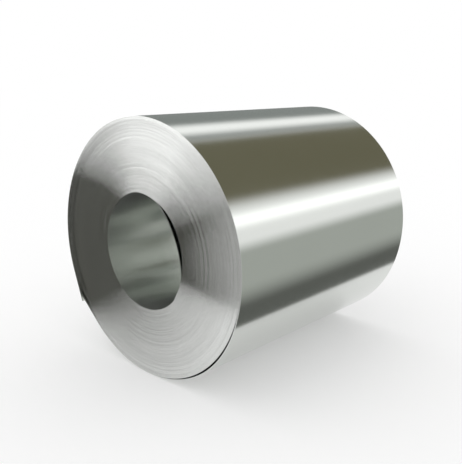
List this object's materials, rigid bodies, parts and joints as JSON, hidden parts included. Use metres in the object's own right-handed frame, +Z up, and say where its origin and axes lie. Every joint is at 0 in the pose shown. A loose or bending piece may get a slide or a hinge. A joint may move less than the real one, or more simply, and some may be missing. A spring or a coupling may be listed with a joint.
{
  "type": "steel coil",
  "caption": "Bright steel strip wound into a heavy coil with an open bore, lying on its side with a loose outer end, ready for an uncoiler.",
  "frame": {"origin": "middle of the bore's axis, half way along the coil", "axes": "+Y along the axis from the pictured end to the other end, +Z up, the free outer end low on the -X side"},
  "size_m": [1.1494, 1.2214, 1.1385],
  "materials": {
    "strip": "bright cold-rolled sheet, with the sheared edges of the turns on the ends"
  },
  "bodies": {
    "root": {"coil": "strip"}
  },
  "joints": []
}
